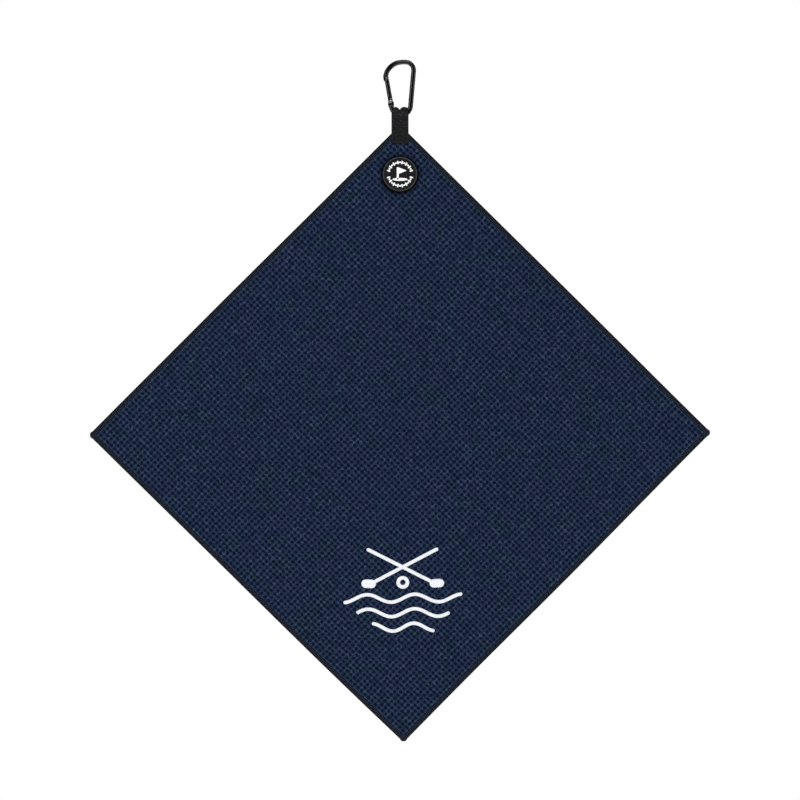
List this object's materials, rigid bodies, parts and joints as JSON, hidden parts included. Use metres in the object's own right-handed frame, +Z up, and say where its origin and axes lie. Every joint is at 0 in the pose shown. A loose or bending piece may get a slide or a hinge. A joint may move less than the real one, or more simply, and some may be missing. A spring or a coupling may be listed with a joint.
{
  "type": "golf towel",
  "caption": "Square navy waffle microfibre golf towel hung by one corner from a black webbing loop and a small carabiner, with a round rubber magnet badge and white embroidery.",
  "frame": {"origin": "middle of the carabiner's inner crown, where the hook or bar it hangs on touches, on the centreline of the webbing", "axes": "+Z up with the towel hanging; the embroidered face looks along -Y; +X is to the viewer's right, so the gate is on the -X side"},
  "size_m": [0.573, 0.0124, 0.6348],
  "materials": {
    "black_anodised_aluminium": "satin black anodised",
    "bare_steel": "polished",
    "spring_steel": "plain",
    "black_webbing": "woven polyester",
    "black_thread": "sewing thread",
    "navy_microfibre": "waffle weave",
    "hem_thread": "overlocked thread",
    "black_rubber": "matt moulded",
    "white_rubber": "matt moulded",
    "magnet": "nickel plated",
    "white_thread": "satin stitch"
  },
  "bodies": {
    "carabiner": {"carabiner_frame": "black_anodised_aluminium", "gate_rivet": "bare_steel"},
    "gate": {"gate_bar": "black_anodised_aluminium", "gate_latch_pin": "bare_steel", "gate_plunger": "spring_steel", "gate_spring": "spring_steel"},
    "strap": {"webbing_loop": "black_webbing"},
    "towel": {"badge_back_cap": "black_rubber", "badge_emblem": "white_rubber", "badge_front_cap": "black_rubber", "badge_magnet": "magnet", "badge_marks_lower": "white_rubber", "badge_marks_upper": "white_rubber", "badge_post": "spring_steel", "corner_nub_bottom": "hem_thread", "corner_nub_left": "hem_thread", "corner_nub_right": "hem_thread", "embroidery_ball": "white_thread", "embroidery_ball_bobbin": "white_thread", "embroidery_clubs": "white_thread", "embroidery_clubs_bobbin": "white_thread", "embroidery_wave_lower": "white_thread", "embroidery_wave_lower_bobbin": "white_thread", "embroidery_wave_middle": "white_thread", "embroidery_wave_middle_bobbin": "white_thread", "embroidery_wave_upper": "white_thread", "embroidery_wave_upper_bobbin": "white_thread", "hem_lower_left": "hem_thread", "hem_lower_right": "hem_thread", "hem_upper_left": "hem_thread", "hem_upper_right": "hem_thread", "strap_stitch_back": "black_thread", "strap_stitch_front": "black_thread", "towel_cloth": "navy_microfibre", "webbing_tail": "black_webbing"}
  },
  "joints": [
    {"name": "gate_hinge", "type": "hinge", "parent": "carabiner", "child": "gate", "pos_m": [-0.00874, 0, -0.03451], "axis": [0, 1, 0], "range_deg": [0, 28], "stiffness_Nm_per_rad": 0.08, "springref_deg": -28.65},
    {"name": "strap_swing", "type": "hinge", "parent": "carabiner", "child": "strap", "pos_m": [0, 0, -0.0456], "axis": [1, 0, 0], "range_deg": [-100, 100]},
    {"name": "strap_bend", "type": "hinge", "parent": "strap", "child": "towel", "pos_m": [0, 0, -0.054], "axis": [1, 0, 0], "range_deg": [-60, 60]}
  ]
}
